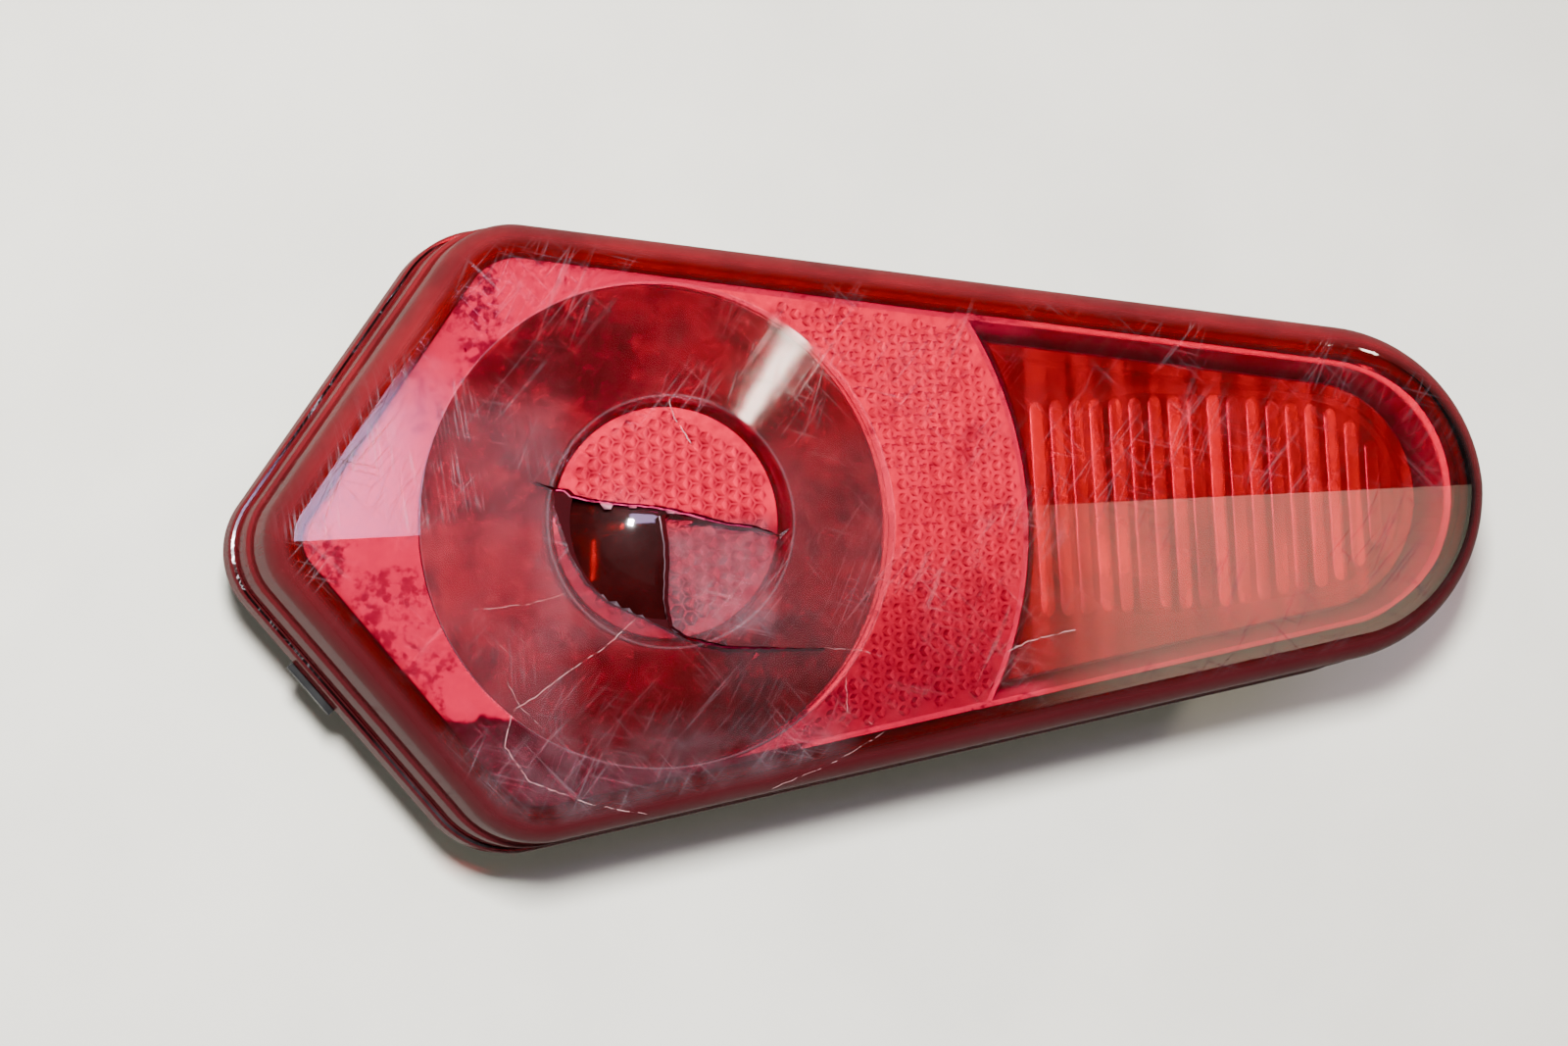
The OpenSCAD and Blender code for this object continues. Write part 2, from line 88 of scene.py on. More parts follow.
TIP = (lens_high.x - TIP_R, 0.0, TIP_R)
SHOULDER = (MAIN_X - SHOULDER_BACK, HALF_W - SHOULDER_R, SHOULDER_R)
VERTEX = (lens_low.x + VERTEX_R, 0.0, VERTEX_R)
LONG_SIDE = side_angle(TIP, SHOULDER)
SHORT_SIDE = side_angle(SHOULDER, VERTEX)


def arc(circle, inset, a, b, steps):
    x, y, r = circle
    turns = [a + (b - a) * i / steps for i in range(steps + 1)]
    return [(x + (r - inset) * math.cos(t), y + (r - inset) * math.sin(t)) for t in turns]


def between(p, q, steps):
    """Points strictly between p and q."""
    return [(p[0] + (q[0] - p[0]) * i / steps, p[1] + (q[1] - p[1]) * i / steps) for i in range(1, steps)]


def outline(inset, straights=1):
    """The lens outline, counter-clockwise from the round end, drawn inset inside its edge."""
    tip = arc(TIP, inset, 0, LONG_SIDE, 26)
    shoulder = arc(SHOULDER, inset, LONG_SIDE, SHORT_SIDE, 18)
    vertex = arc(VERTEX, inset, SHORT_SIDE, math.pi, 12)
    half = tip + between(tip[-1], shoulder[0], straights) + shoulder
    half += between(shoulder[-1], vertex[0], straights) + vertex
    return half + [(x, -y) for x, y in reversed(half[1:-1])]


def roof(y):
    """Height of the lens face, which falls to both sides of its ridge."""
    return RIDGE_Z - abs(y) * math.tan(FACE_SLOPE)


def bull_rise(x, y, r0=BULL_R, r1=DISC_R):
    """Height of the bullseye above the face: a cone from radius r0 up to a disc of radius r1."""
    r = math.hypot(x - MAIN_X, y)
    return BULL_RISE * min(max((r0 - r) / (r0 - r1), 0.0), 1.0)


def inside(p, polygon):
    """True if 2-D point p is inside the polygon."""
    x, y = p[0], p[1]
    hit = False
    for i, (x1, y1) in enumerate(polygon):
        x0, y0 = polygon[i - 1]
        if (y0 > y) != (y1 > y) and x < (x1 - x0) * (y - y0) / (y1 - y0) + x0:
            hit = not hit
    return hit


# ================================================================ the break in the disc
# Corners of the hole and of the two cracks that run on from it, about the main bulb axis. They were
# found on the photo one by one and worked out in mm with its perspective undone. The piece between the cracks
# is still attached on its right.
HOLE = [
    (-22.6, 7.6), (-19.8, 6.0), (-19.7, 2.8), (-18.6, -1.0), (-17.6, -4.5), (-14.9, -9.6), (-11.3, -12.9),
    (-7.2, -15.0), (-2.2, -17.6), (1.7, -19.9), (8.6, -21.7), (17.7, -22.2), (27.0, -22.5),
    (17.7, -21.9), (8.6, -21.2), (1.9, -19.2), (-0.4, -17.4), (-1.0, -12.9),
    (-0.5, -7.8), (-0.4, -3.4), (-0.9, 1.2), (4.4, 0.2), (9.4, -1.1), (14.5, -1.9), (18.9, -3.4),
    (14.5, -1.5), (9.4, -0.6), (4.4, 1.0), (-1.9, 2.6), (-7.9, 3.4), (-13.4, 4.3), (-16.2, 5.1),
    (-17.2, 6.1), (-19.6, 6.5),
]


def jagged(points, step=0.7, rough=0.08):
    """A closed run of points, split to about step and roughened along the way as torn plastic is."""
    rng = random.Random(3)
    out = []
    for i, p in enumerate(points):
        q = points[(i + 1) % len(points)]
        length = math.dist(p, q)
        n = max(1, round(length / step))
        nx, ny = (q[1] - p[1]) / length, -(q[0] - p[0]) / length
        for k in range(n):
            t = k / n
            off = 0.0 if k == 0 else rng.uniform(-rough, rough) * min(1, length / 3)
            out.append((p[0] + (q[0] - p[0]) * t + nx * off, p[1] + (q[1] - p[1]) * t + ny * off))
    return out


hole = [(x + MAIN_X, y) for x, y in jagged(HOLE)]


# ================================================================ mesh helpers
def add_object(name, bm, sharp=None, smooth=True):
    """Turns a bmesh in millimetres into an object, sharp where faces meet at over sharp degrees."""
    bmesh.ops.recalc_face_normals(bm, faces=bm.faces)
    for face in bm.faces:
        face.smooth = smooth
    if sharp is not None:
        limit = math.radians(sharp)
        for edge in bm.edges:
            if len(edge.link_faces) == 2 and edge.calc_face_angle(0.0) > limit:
                edge.smooth = False
    bmesh.ops.scale(bm, vec=(MM, MM, MM), verts=bm.verts)
    mesh = bpy.data.meshes.new(name)
    bm.to_mesh(mesh)
    bm.free()
    obj = bpy.data.objects.new(name, mesh)
    bpy.context.scene.collection.objects.link(obj)
    return obj


def ring_verts(bm, points, height):
    return [bm.verts.new((x, y, height(x, y))) for x, y in points]


def stitch(bm, lower, upper):
    """Quads between two closed rings of the same length."""
    n = len(lower)
    for i in range(n):
        j = (i + 1) % n
        bm.faces.new((lower[i], lower[j], upper[j], upper[i]))


def circle_points(r, n):
    """n points around the main bulb axis."""
    return [(MAIN_X + r * math.cos(math.tau * i / n), r * math.sin(math.tau * i / n)) for i in range(n)]


def filled(loops, lines, keep, extra=()):
    """Triangles over closed loops, open lines and extra points, kept where keep(point) is true."""
    points, edges = list(extra), []
    for loop in loops:
        base = len(points)
        points += loop
        edges += [(base + i, base + (i + 1) % len(loop)) for i in range(len(loop))]
    for line in lines:
        base = len(points)
        points += line
        edges += [(base + i, base + i + 1) for i in range(len(line) - 1)]
    verts, _, faces, *_ = geometry.delaunay_2d_cdt([Vector(p) for p in points], edges, [], 0, 1e-5)
    kept = []
    for face in faces:
        mid = sum((verts[i] for i in face), Vector((0, 0))) / len(face)
        if keep(mid):
            kept.append(face)
    return verts, kept


def lay_sheet(bm, verts, faces, height, material=0):
    """Adds faces over the 2-D verts, raised to height(x, y)."""
    made = {}
    for face in faces:
        for i in face:
            if i not in made:
                x, y = verts[i]
                made[i] = bm.verts.new((x, y, height(x, y)))
        bm.faces.new([made[i] for i in face]).material_index = material


def face_sheet(bm, edge, height, circles, cut):
    """Lens face inside edge, at height(x, y), with its ridge and circles, without what cut covers."""
    ridge = [(min(p[0] for p in edge), 0.0), (max(p[0] for p in edge), 0.0)]
    loops = [edge, cut] + [circle_points(r, 120) for r in circles]
    spacing, clear_of_cut = 1.5, 0.6        # of the extra points on the loose piece
    loose = [(MAIN_X + 0.5 + spacing * i, -20.5 + spacing * j) for i in range(13) for j in range(15)]
    loose = [p for p in loose if shard_drop(*p) > 0 and all(math.dist(p, q) > clear_of_cut for q in cut)]
    verts, faces = filled(loops, [ridge], lambda p: inside(p, edge) and not inside(p, cut), loose)
    lay_sheet(bm, verts, faces, height)


# ================================================================ the lens
def fade(value, start, end):
    """Smooth step from 0 at start to 1 at end, either way round."""
    t = min(max((value - start) / (end - start), 0.0), 1.0)
    return t * t * (3 - 2 * t)


SHARD_LEFT, SHARD_HINGE = -1.3, 19.0        # about the main bulb axis
SHARD_PUSH, SHARD_LENGTH = 1.3, 20.0        # pushed in so far, so far to the left of its hinge


def shard_drop(x, y):
    """How far the loose piece of the disc is pushed in: most at its left edge, none at its hinge."""
    dx = x - MAIN_X
    upper = 1.2 - 0.24 * (dx + 0.9)                     # along the upper crack
    lower = -17.6 - 1.15 * max(dx + 0.5, 0) ** 0.5      # along the lower crack
    if dx < SHARD_LEFT or dx > SHARD_HINGE or y > upper or y < lower:
        return 0.0
    return SHARD_PUSH * (SHARD_HINGE - dx) / SHARD_LENGTH


def outer_height(x, y):
    return roof(y) + bull_rise(x, y) - shard_drop(x, y)


def inner_height(x, y):
    return roof(y) - WALL + bull_rise(x, y, BULL_R - BULL_STEP, DISC_R - BULL_STEP) - shard_drop(x, y)


def quarter(inset0, drop0, inset1, drop1, steps):
    """Rim profile: most of a quarter turn, from an upright wall towards the face."""
    end = math.radians(78)
    out = []
    for i in range(steps + 1):
        t = end * i / steps
        share = (1 - math.cos(t)) / (1 - math.cos(end))
        lift = math.sin(t) / math.sin(end)
        out.append((inset0 + (inset1 - inset0) * share, drop0 + (drop1 - drop0) * lift))
    return out


def lens_rings(bm, levels, rim):
    """Rings up the wall at fixed heights, then round the rim at drops below the face."""
    rings = [ring_verts(bm, outline(i), lambda x, y, z=z: z) for i, z in levels]
    rings += [ring_verts(bm, outline(i), lambda x, y, d=d: roof(y) - d) for i, d in rim]
    for lower, upper in zip(rings, rings[1:]):
        stitch(bm, lower, upper)
    return rings


def make_lens():
    """The lens: stepped wall, rolled rim, face with the bullseye, and the hole through its disc."""
    bm = bmesh.new()
    fillet = 0.35
    band, step = LENS_Z + BAND_H, LENS_Z + 20.3
    outer_wall = [
        (0.25, LENS_Z), (0.0, LENS_Z + 0.3), (0.0, band - 1.2), (0.12, band - 0.7), (0.45, band - 0.3),
        (0.9, band - 0.25), (1.3, band - 0.55), (1.45, band - 0.2), (1.5, band + 0.4), (1.2, band + 0.9),
        (1.1, band + 1.6), (1.15, LENS_Z + 19.6), (1.2, step), (1.4, step + fillet),
        (1.8, step + 2 * fillet), (1.92, LENS_Z + 21.6), (2.0, LENS_Z + 28.5),
    ]
    outer = lens_rings(bm, outer_wall, quarter(2.1, 6.6, FACE_INSET, 0.0, 16))
    inner_wall = [
        (WALL, LENS_Z), (WALL + 0.2, LENS_Z + 6), (WALL + 0.8, LENS_Z + 20), (WALL + 1.6, LENS_Z + 28),
    ]
    inner = lens_rings(bm, inner_wall, quarter(WALL + 2.0, WALL + 5.2, INNER_FACE_INSET, WALL, 12))
    stitch(bm, inner[0], outer[0])
    outer_circles = (BULL_R, 36, 31, 26, DISC_R + 0.6, DISC_R, 20.4)
    inner_circles = (BULL_R - BULL_STEP, 34, 27, DISC_R - BULL_STEP)
    face_sheet(bm, outline(FACE_INSET), outer_height, outer_circles, hole)
    face_sheet(bm, outline(INNER_FACE_INSET), inner_height, inner_circles, hole)
    stitch(bm, ring_verts(bm, hole, inner_height), ring_verts(bm, hole, outer_height))
    bmesh.ops.remove_doubles(bm, verts=bm.verts, dist=0.002)
    lens = add_object("lens_shell", bm, sharp=4.6)
    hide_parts("outer_lens")
    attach(lens, "lamp")
    return lens


# ================================================================ material helpers
class Shader:
    """A node material with short calls for what the materials below need."""

    def __init__(self, name):
        self.material = bpy.data.materials.new(name)
        self.material.use_nodes = True
        self.tree = self.material.node_tree
        self.tree.nodes.clear()
        self.output = self.node("ShaderNodeOutputMaterial")
        self.coords = self.node("ShaderNodeTexCoord").outputs["Object"]

    def node(self, kind, **settings):
        made = self.tree.nodes.new(kind)
        for key, value in settings.items():
            setattr(made, key, value)
        return made

    def link(self, source, target):
        if hasattr(source, "links") or hasattr(source, "is_linked"):
            self.tree.links.new(source, target)
        else:
            target.default_value = source

    def scaled(self, scale, rotation=(0, 0, 0)):
        mapping = self.node("ShaderNodeMapping", vector_type="TEXTURE")      # turns first, then scales
        mapping.inputs["Scale"].default_value = [1 / k for k in scale]
        mapping.inputs["Rotation"].default_value = rotation
        self.link(self.coords, mapping.inputs["Vector"])
        return mapping.outputs["Vector"]

    def noise(self, scale, detail=3.0, rough=0.55, stretch=(1, 1, 1), rotation=(0, 0, 0), distort=0.0):
        made = self.node("ShaderNodeTexNoise")
        made.inputs["Scale"].default_value = scale
        made.inputs["Detail"].default_value = detail
        made.inputs["Roughness"].default_value = rough
        made.inputs["Distortion"].default_value = distort
        self.link(self.scaled(stretch, rotation), made.inputs["Vector"])
        return made.outputs["Fac"]

    def ramp(self, value, low, high, start=0.0, end=1.0):
        made = self.node("ShaderNodeMapRange", interpolation_type="SMOOTHSTEP")
        self.link(value, made.inputs["Value"])
        made.inputs["From Min"].default_value = low
        made.inputs["From Max"].default_value = high
        made.inputs["To Min"].default_value = start
        made.inputs["To Max"].default_value = end
        return made.outputs["Result"]

    def axis(self, name):
        """X, Y or Z of the object, in metres."""
        if not hasattr(self, "xyz"):
            self.xyz = self.node("ShaderNodeSeparateXYZ")
            self.link(self.coords, self.xyz.inputs[0])
        return self.xyz.outputs[name]

    def normal(self, name):
        """X, Y or Z of the surface normal."""
        split = self.node("ShaderNodeSeparateXYZ")
        self.link(self.node("ShaderNodeNewGeometry").outputs["Normal"], split.inputs[0])
        return split.outputs[name]

    def fold(self, kind, first, *rest):
        for value in rest:
            first = self.math(kind, first, value)
        return first

    def total(self, *values):
        return self.fold("ADD", *values)

    def most(self, *values):
        return self.fold("MAXIMUM", *values)

    def times(self, *values):
        return self.fold("MULTIPLY", *values)

    def length(self, x, y):
        return self.math("SQRT", self.total(self.times(x, x), self.times(y, y)))

    def band(self, value, start, full, fade, end):
        """1 where value is between full and fade, falling to 0 at start and end."""
        return self.times(self.ramp(value, start, full), self.ramp(value, fade, end, 1.0, 0.0))

    def math(self, kind, a, b=0.0):
        made = self.node("ShaderNodeMath", operation=kind)
        self.link(a, made.inputs[0])
        self.link(b, made.inputs[1])
        return made.outputs[0]

    def mix(self, factor, a, b):
        made = self.node("ShaderNodeMix", data_type="RGBA")
        self.link(factor, made.inputs["Factor"])
        self.link(a if not isinstance(a, tuple) else (*a, 1.0)[:4], made.inputs["A"])
        self.link(b if not isinstance(b, tuple) else (*b, 1.0)[:4], made.inputs["B"])
        return made.outputs["Result"]

    def bump(self, height, strength, distance):
        made = self.node("ShaderNodeBump")
        made.inputs["Strength"].default_value = strength
        made.inputs["Distance"].default_value = distance
        self.link(height, made.inputs["Height"])
        return made.outputs["Normal"]

    def principled(self, **values):
        made = self.node("ShaderNodeBsdfPrincipled")
        for key, value in values.items():
            socket = made.inputs[key.replace("_", " ").title().replace("Ior", "IOR")]
            if isinstance(value, tuple):
                value = (*value, 1.0)[:4]
            self.link(value, socket)
        return made

    def blend(self, factor, first, second):
        """Shader that is first where factor is 0 and second where it is 1."""
        made = self.node("ShaderNodeMixShader")
        self.link(factor, made.inputs[0])
        self.link(first.outputs[0], made.inputs[1])
        self.link(second.outputs[0], made.inputs[2])
        return made

    def finish(self, shader):
        self.link(shader.outputs[0], self.output.inputs["Surface"])
        return self.material


def dress(obj, *materials):
    obj.data.materials.clear()
    for material in materials:
        obj.data.materials.append(material)


def zone(s, x0, x1, y0, y1, soft, rough=0.0, scale=160):
    """Mask of a soft rectangle about the main bulb axis, in mm, with an uneven edge."""
    stray = s.times(s.math("SUBTRACT", s.noise(scale, 4.0), 0.5), rough * MM)
    sides = []
    for name, low, high in (("X", x0 + MAIN_X, x1 + MAIN_X), ("Y", y0, y1)):
        limits = [(end + side * soft) * MM for end in (low, high) for side in (-1, 1)]
        sides.append(s.band(s.total(s.axis(name), stray), *limits))
    return s.times(*sides)


def from_axis(s):
    """Distance from the main bulb axis, in metres."""
    return s.length(s.math("SUBTRACT", s.axis("X"), MAIN_X * MM), s.axis("Y"))


def inset_from_edge(s):
    """How far inside the lens outline a point of the window end lies, in metres."""
    ahead, y = s.math("SUBTRACT", s.axis("X"), TIP[0] * MM), s.axis("Y")
    round_end = s.math("SUBTRACT", TIP_R * MM, s.length(ahead, y))
    along = s.total(s.times(ahead, math.cos(LONG_SIDE)),
                    s.times(s.math("ABSOLUTE", y), math.sin(LONG_SIDE)))
    straight = s.math("SUBTRACT", TIP_R * MM, along)
    past = s.math("GREATER_THAN", ahead, 0.003)
    return s.total(s.times(past, round_end), s.times(s.math("SUBTRACT", 1.0, past), straight))


def scratches(s, direction, density, width, scale=60, length=50):
    """Fine straight scratches along one direction, as a mask from 0 to 1."""
    fine = s.noise(scale, 1.0, 0.5, (length, 1, 1), (0, 0, direction))
    patch = s.noise(60, 3.0, 0.6)
    return s.times(s.ramp(fine, density, density + width), s.ramp(patch, 0.42, 0.62))


def see_through(s, body, tint, volume=None, share=1.0):
    """Lets share of the lamp light through body, so that what lies behind it is lit."""
    through = s.node("ShaderNodeBsdfTransparent")
    through.inputs["Color"].default_value = (*tint, 1)
    path = s.node("ShaderNodeLightPath")
    out = s.blend(s.times(path.outputs["Is Shadow Ray"], share), body, through)
    if volume:
        color, density = volume
        absorber = s.node("ShaderNodeVolumeAbsorption")
        absorber.inputs["Color"].default_value = (*color, 1)
        absorber.inputs["Density"].default_value = density
        s.link(absorber.outputs[0], s.output.inputs["Volume"])
    return s.finish(out)


RED_DYE = ((0.944, 0.0, 0.58), 1170.0)      # absorption colour and density of the lens plastic


def red_lens_material():
    """Clear red plastic, scratched and hazy in places, with pale lines round the bullseye's and disc's edges
    that are worn edges with a painted highlight; its walls and cut edges mostly opaque dark red, with painted
    shade that darkens them towards the bottom.
    """
    s = Shader("red_lens_plastic")
    r = from_axis(s)
    ring = s.band(r, 0.0205, 0.0213, 0.0405, 0.0412)
    ring_left = s.times(ring, zone(s, -45, -17, -34, 22, 4.0, 5.0))
    ring_right = s.times(ring, zone(s, 8, 45, -28, 12, 6.0, 5.0))
    shard = zone(s, -1, 17, -19, -1, 2.0, 4.0)
    stub = zone(s, -22, -3, -20, 4, 3.0, 4.0)
    peel = zone(s, -45, 30, -54, -34, 3.5, 9.0)
    left = zone(s, -68, -30, 1.0, 30, 1.5)

    scuffs = s.most(scratches(s, 1.3, 0.66, 0.04), scratches(s, -0.75, 0.64, 0.04, 50),
                    scratches(s, -0.45, 0.65, 0.04, 45), scratches(s, 0.75, 0.66, 0.04, 55))
    upright = s.times(scratches(s, 0.06, 0.54, 0.1, 80, 35), s.most(left, s.times(ring_left, 0.3)))
    grime = s.ramp(s.noise(110, 5.0, 0.62), 0.46, 0.8)
    # pale lines round the bullseye's and the disc's edges: worn edges, with a painted edge highlight on them
    edges = s.most(s.band(r, 0.0408, 0.041, 0.0411, 0.0413), s.band(r, 0.0208, 0.021, 0.0212, 0.0214))
    cloud = s.ramp(s.noise(45, 5.0), 0.25, 0.7, 0.4, 1.0)
    mottle = s.ramp(s.noise(380, 4.0), 0.3, 0.7, 0.5, 1.0)
    blotch = s.ramp(s.noise(200, 4.0), 0.2, 0.8)
    veil = s.total(
        s.times(scuffs, 0.035), s.times(edges, 0.03), s.times(upright, 0.1),
        s.times(s.most(ring_left, s.times(ring_right, 0.7)), cloud, 0.03),
        s.times(s.most(shard, s.times(stub, 0.5)), mottle, 0.06),
        s.times(peel, blotch, 0.035), s.times(grime, 0.004))

    rough = s.total(s.times(scuffs, 0.15), s.times(grime, 0.05), 0.04, s.times(ring, 0.06))
    glass = s.principled(base_color=(1, 1, 1), roughness=rough, ior=1.49, transmission_weight=1.0,
                         normal=s.bump(s.total(scuffs, s.times(upright, 0.5)), 0.05, 0.00004))
    haze = s.principled(base_color=(0.56, 0.5, 0.58), roughness=0.45)
    face = s.blend(veil, glass, haze)

    facing_up = s.math("ABSOLUTE", s.normal("Z"))
    off_bull = s.ramp(r, 0.0413, 0.0418)
    wall = s.most(s.times(s.ramp(facing_up, 0.75, 0.97, 0.9, 0.0), off_bull),
                  s.ramp(facing_up, 0.25, 0.5, 0.9, 0.0))
    # painted shade: the walls and rim get a dark red that is darker towards the bottom and lighter towards
    # the top
    tone = s.mix(s.ramp(s.axis("Y"), -0.03, 0.035), (0.05, 0.006, 0.008), (0.17, 0.012, 0.016))
    tone = s.mix(s.ramp(s.noise(70, 5.0, 0.6), 0.35, 0.7, 0.0, 0.6), tone, (0.06, 0.008, 0.01))
    red_wall_painted_shade = s.principled(base_color=tone, roughness=0.5, ior=1.0, specular_ior_level=0.0)
    clear_share = s.math("SUBTRACT", 1.0, wall)
    return see_through(s, s.blend(wall, face, red_wall_painted_shade), (0.95, 0.95, 0.95), RED_DYE, clear_share)


def plain_material(name, color, rough, metallic=0.0, **extra):
    """Base for moulded or metal parts: fine grain, colour drift and wear in the roughness."""
    s = Shader(name)
    dark = tuple(c * 0.72 for c in color)
    tone = s.mix(s.ramp(s.noise(60, 4.0), 0.35, 0.7), color, dark)
    rough_map = s.ramp(s.noise(150, 3.0), 0.3, 0.7, rough * 0.8, min(1.0, rough * 1.25))
    grain = s.bump(s.noise(4000, 2.0), 0.1, 0.00005)
    base = s.principled(base_color=tone, roughness=rough_map, metallic=metallic, normal=grain, **extra)
    return s.finish(base)


def bezel_material():
    """Vacuum-metallised plate, smudged, with the metal gone from its lower left corner."""
    s = Shader("metallised_plate")
    worn = s.times(s.most(zone(s, -63, -36, -28, -1, 5.0, 14.0), zone(s, -40, -20, 22, 40, 4.0, 14.0)), 0.09)
    specks = s.times(s.ramp(s.total(s.noise(75, 5.0, 0.7), worn), 0.53, 0.62),
                     s.ramp(s.noise(520, 4.0), 0.42, 0.56))
    gone = s.most(zone(s, -60, 24, -60, -31, 0.5, 9.0, 90), s.ramp(s.noise(240, 4.0, 0.7), 0.69, 0.72))
    tone = s.mix(specks, (0.2, 0.165, 0.18), (0.045, 0.036, 0.046))
    tone = s.mix(s.ramp(s.noise(25, 3.0), 0.35, 0.65, 0.0, 0.35), tone, (0.14, 0.12, 0.13))
    tone = s.mix(gone, tone, (0.005, 0.005, 0.007))

    # the window's frame, darker, with a painted highlight along its outer edge that is brighter on its upper
    # side
    frame_band = s.ramp(s.axis("X"), (MAIN_X + 66) * MM, (MAIN_X + 72) * MM)
    line = s.band(inset_from_edge(s), 0.0066, 0.0072, 0.0086, 0.0094)
    upper = s.ramp(s.axis("Y"), -0.012, 0.006, 0.3, 1.0)
    frame_tone_painted_highlight = s.mix(s.times(line, upper), (0.07, 0.035, 0.038), (0.34, 0.2, 0.2))
    tone = s.mix(frame_band, tone, frame_tone_painted_highlight)
    # painted shade: the plate darkens where it lies lower, in its recesses
    recess_painted_shade = s.ramp(s.axis("Z"), (plate_low.z - 6.5) * MM, (plate_low.z - 2.0) * MM, 1.0, 0.0)
    tone = s.mix(recess_painted_shade, tone, (0.025, 0.014, 0.016))
    base = s.principled(base_color=tone, roughness=s.ramp(s.noise(160, 3.0), 0.3, 0.7, 0.5, 0.65),
                        specular_ior_level=0.1, normal=s.bump(s.noise(900, 2.0), 0.08, 0.00005))
    return s.finish(base)


def hood_material():
    """Dull brown-grey cone under the bullseye, with painted shade that darkens its lower side, and near black
    dark red painted shade in its tube and on the tube's lip.
    """
    s = Shader("hood_moulding")
    streaks = s.noise(55, 6.0, 0.7, (1, 1, 0.2), distort=0.6)
    cone = s.mix(s.ramp(streaks, 0.38, 0.62), (0.062, 0.032, 0.034), (0.018, 0.011, 0.012))
    cone = s.mix(s.ramp(s.noise(260, 4.0, 0.7), 0.5, 0.7, 0.0, 0.6), cone, (0.1, 0.055, 0.055))
    # painted shade: the cone is darker towards the bottom
    low = s.ramp(s.axis("Y"), -0.038, -0.012, 1.0, 0.0)
    cone = s.mix(s.times(low, 0.8), cone, (0.01, 0.007, 0.008))
    # painted shade: near black dark red inside the tube and on its lip
    tone = s.mix(s.ramp(from_axis(s), 0.0204, 0.0209), (0.022, 0.003, 0.004), cone)
    base = s.principled(base_color=tone, roughness=s.ramp(s.noise(200, 3.0), 0.3, 0.7, 0.55, 0.75),
                        specular_ior_level=0.0, normal=s.bump(s.noise(2500, 2.0), 0.12, 0.00005))
    return s.finish(base)


def reflex_material(name, tone, dirt_and_painted_shade, shade_y, share, top=None):
    """Reflex plastic, dirty in patches, with painted shade that darkens it below shade_y; share is how much
    of tone is left there.

    With top, the height of the cells' rims in mm, each cell gets painted shade towards its rim.
    """
    s = Shader(name)
    dirt = s.ramp(s.noise(130, 5.0, 0.7), 0.47, 0.72)
    uneven = s.ramp(s.noise(420, 1.0), 0.5, 0.75, 0.0, 0.5)
    # painted shade: the plastic goes dark below shade_y
    low = s.times(s.ramp(s.axis("Y"), shade_y[0] * MM, shade_y[1] * MM, 1.0, 0.0), 1 - share)
    corner = s.times(s.ramp(s.axis("Y"), -0.036, -0.026, 1.0, 0.0),
                     s.ramp(s.axis("X"), -0.02, -0.008, 1.0, 0.0))
    color = s.mix(s.times(s.most(dirt, uneven), 0.6), tone, dirt_and_painted_shade)
    color = s.mix(low, color, dirt_and_painted_shade)
    if top is not None:
        # painted shade: each cell darkens towards its rim, leaving its centre bright
        rim = s.ramp(s.axis("Z"), (top - 0.42) * MM, (top - 0.02) * MM, 0.0, 0.85)
        color = s.mix(rim, color, (0.02, 0.01, 0.014))
    color = s.mix(s.times(corner, 0.85), color, (0.06, 0.04, 0.06))
    base = s.principled(base_color=color, roughness=s.ramp(dirt, 0.0, 1.0, 0.35, 0.5), specular_ior_level=0.2)
    return s.finish(base)


def glint_material():
    """Bright metal for the small flats of the reflex cells."""
    s = Shader("reflex_glint")
    rough = s.ramp(s.noise(900, 1.0), 0.3, 0.7, 0.26, 0.34)
    return s.finish(s.principled(base_color=(1.0, 0.95, 0.95), metallic=1.0, roughness=rough))


def clear_material(name, color, rough=0.02, cloudy=0.0):
    """Clear glass or plastic; cloudy is the share of its own colour it scatters back."""
    s = Shader(name)
    body = s.principled(base_color=color, roughness=s.ramp(s.noise(120, 3.0), 0.3, 0.8, rough, rough + 0.05),
                        ior=1.5, transmission_weight=1.0)
    if cloudy:
        film = s.principled(base_color=color, roughness=0.5)
        body = s.blend(s.times(s.ramp(s.noise(160, 4.0), 0.3, 0.7, 0.5, 1.0), cloudy), body, film)
    return see_through(s, body, tuple(math.sqrt(c) for c in color))


def flute_material():
    """Clear red plastic with a painted highlight along the top of each rib."""
    s = Shader("window_plastic")
    glass = s.principled(base_color=(0.7, 0.25, 0.25), roughness=0.1, ior=1.49, transmission_weight=1.0)
    rib_top_painted_highlight = s.principled(base_color=(0.25, 0.02, 0.03), roughness=0.35, specular_ior_level=0.2)
    dark = s.principled(base_color=(0.04, 0.012, 0.014), roughness=0.5, specular_ior_level=0.1)
    # painted highlight: the top of each rib is turned to a diffuse red
    high = s.ramp(s.axis("Z"), (flutes_high.z - 0.45) * MM, (flutes_high.z - 0.06) * MM, 0.03, 0.85)
    from_rib_to_rib = s.ramp(s.noise(300, 1.0, 0.5, (1, 0.04, 0.04)), 0.35, 0.65, 0.35, 1.0)
    patches = s.ramp(s.noise(90, 4.0), 0.3, 0.6, 0.6, 1.0)
    body = s.blend(s.times(high, s.times(from_rib_to_rib, patches)), glass, rib_top_painted_highlight)
    corner = s.most(s.ramp(s.axis("Y"), -0.03, -0.012, 1.0, 0.0), s.ramp(s.axis("X"), 0.095, 0.115))
    return see_through(s, s.blend(s.times(corner, 0.65), body, dark), (0.8, 0.5, 0.5))


def crack_material():
    """Pale line, broken up along its length."""
    s = Shader("crack_lines")
    broken = s.ramp(s.noise(700, 2.0), 0.38, 0.5)
    line = s.principled(base_color=(0.34, 0.17, 0.17), roughness=0.5)
    return s.finish(s.blend(s.times(broken, 0.8), s.node("ShaderNodeBsdfTransparent"), line))


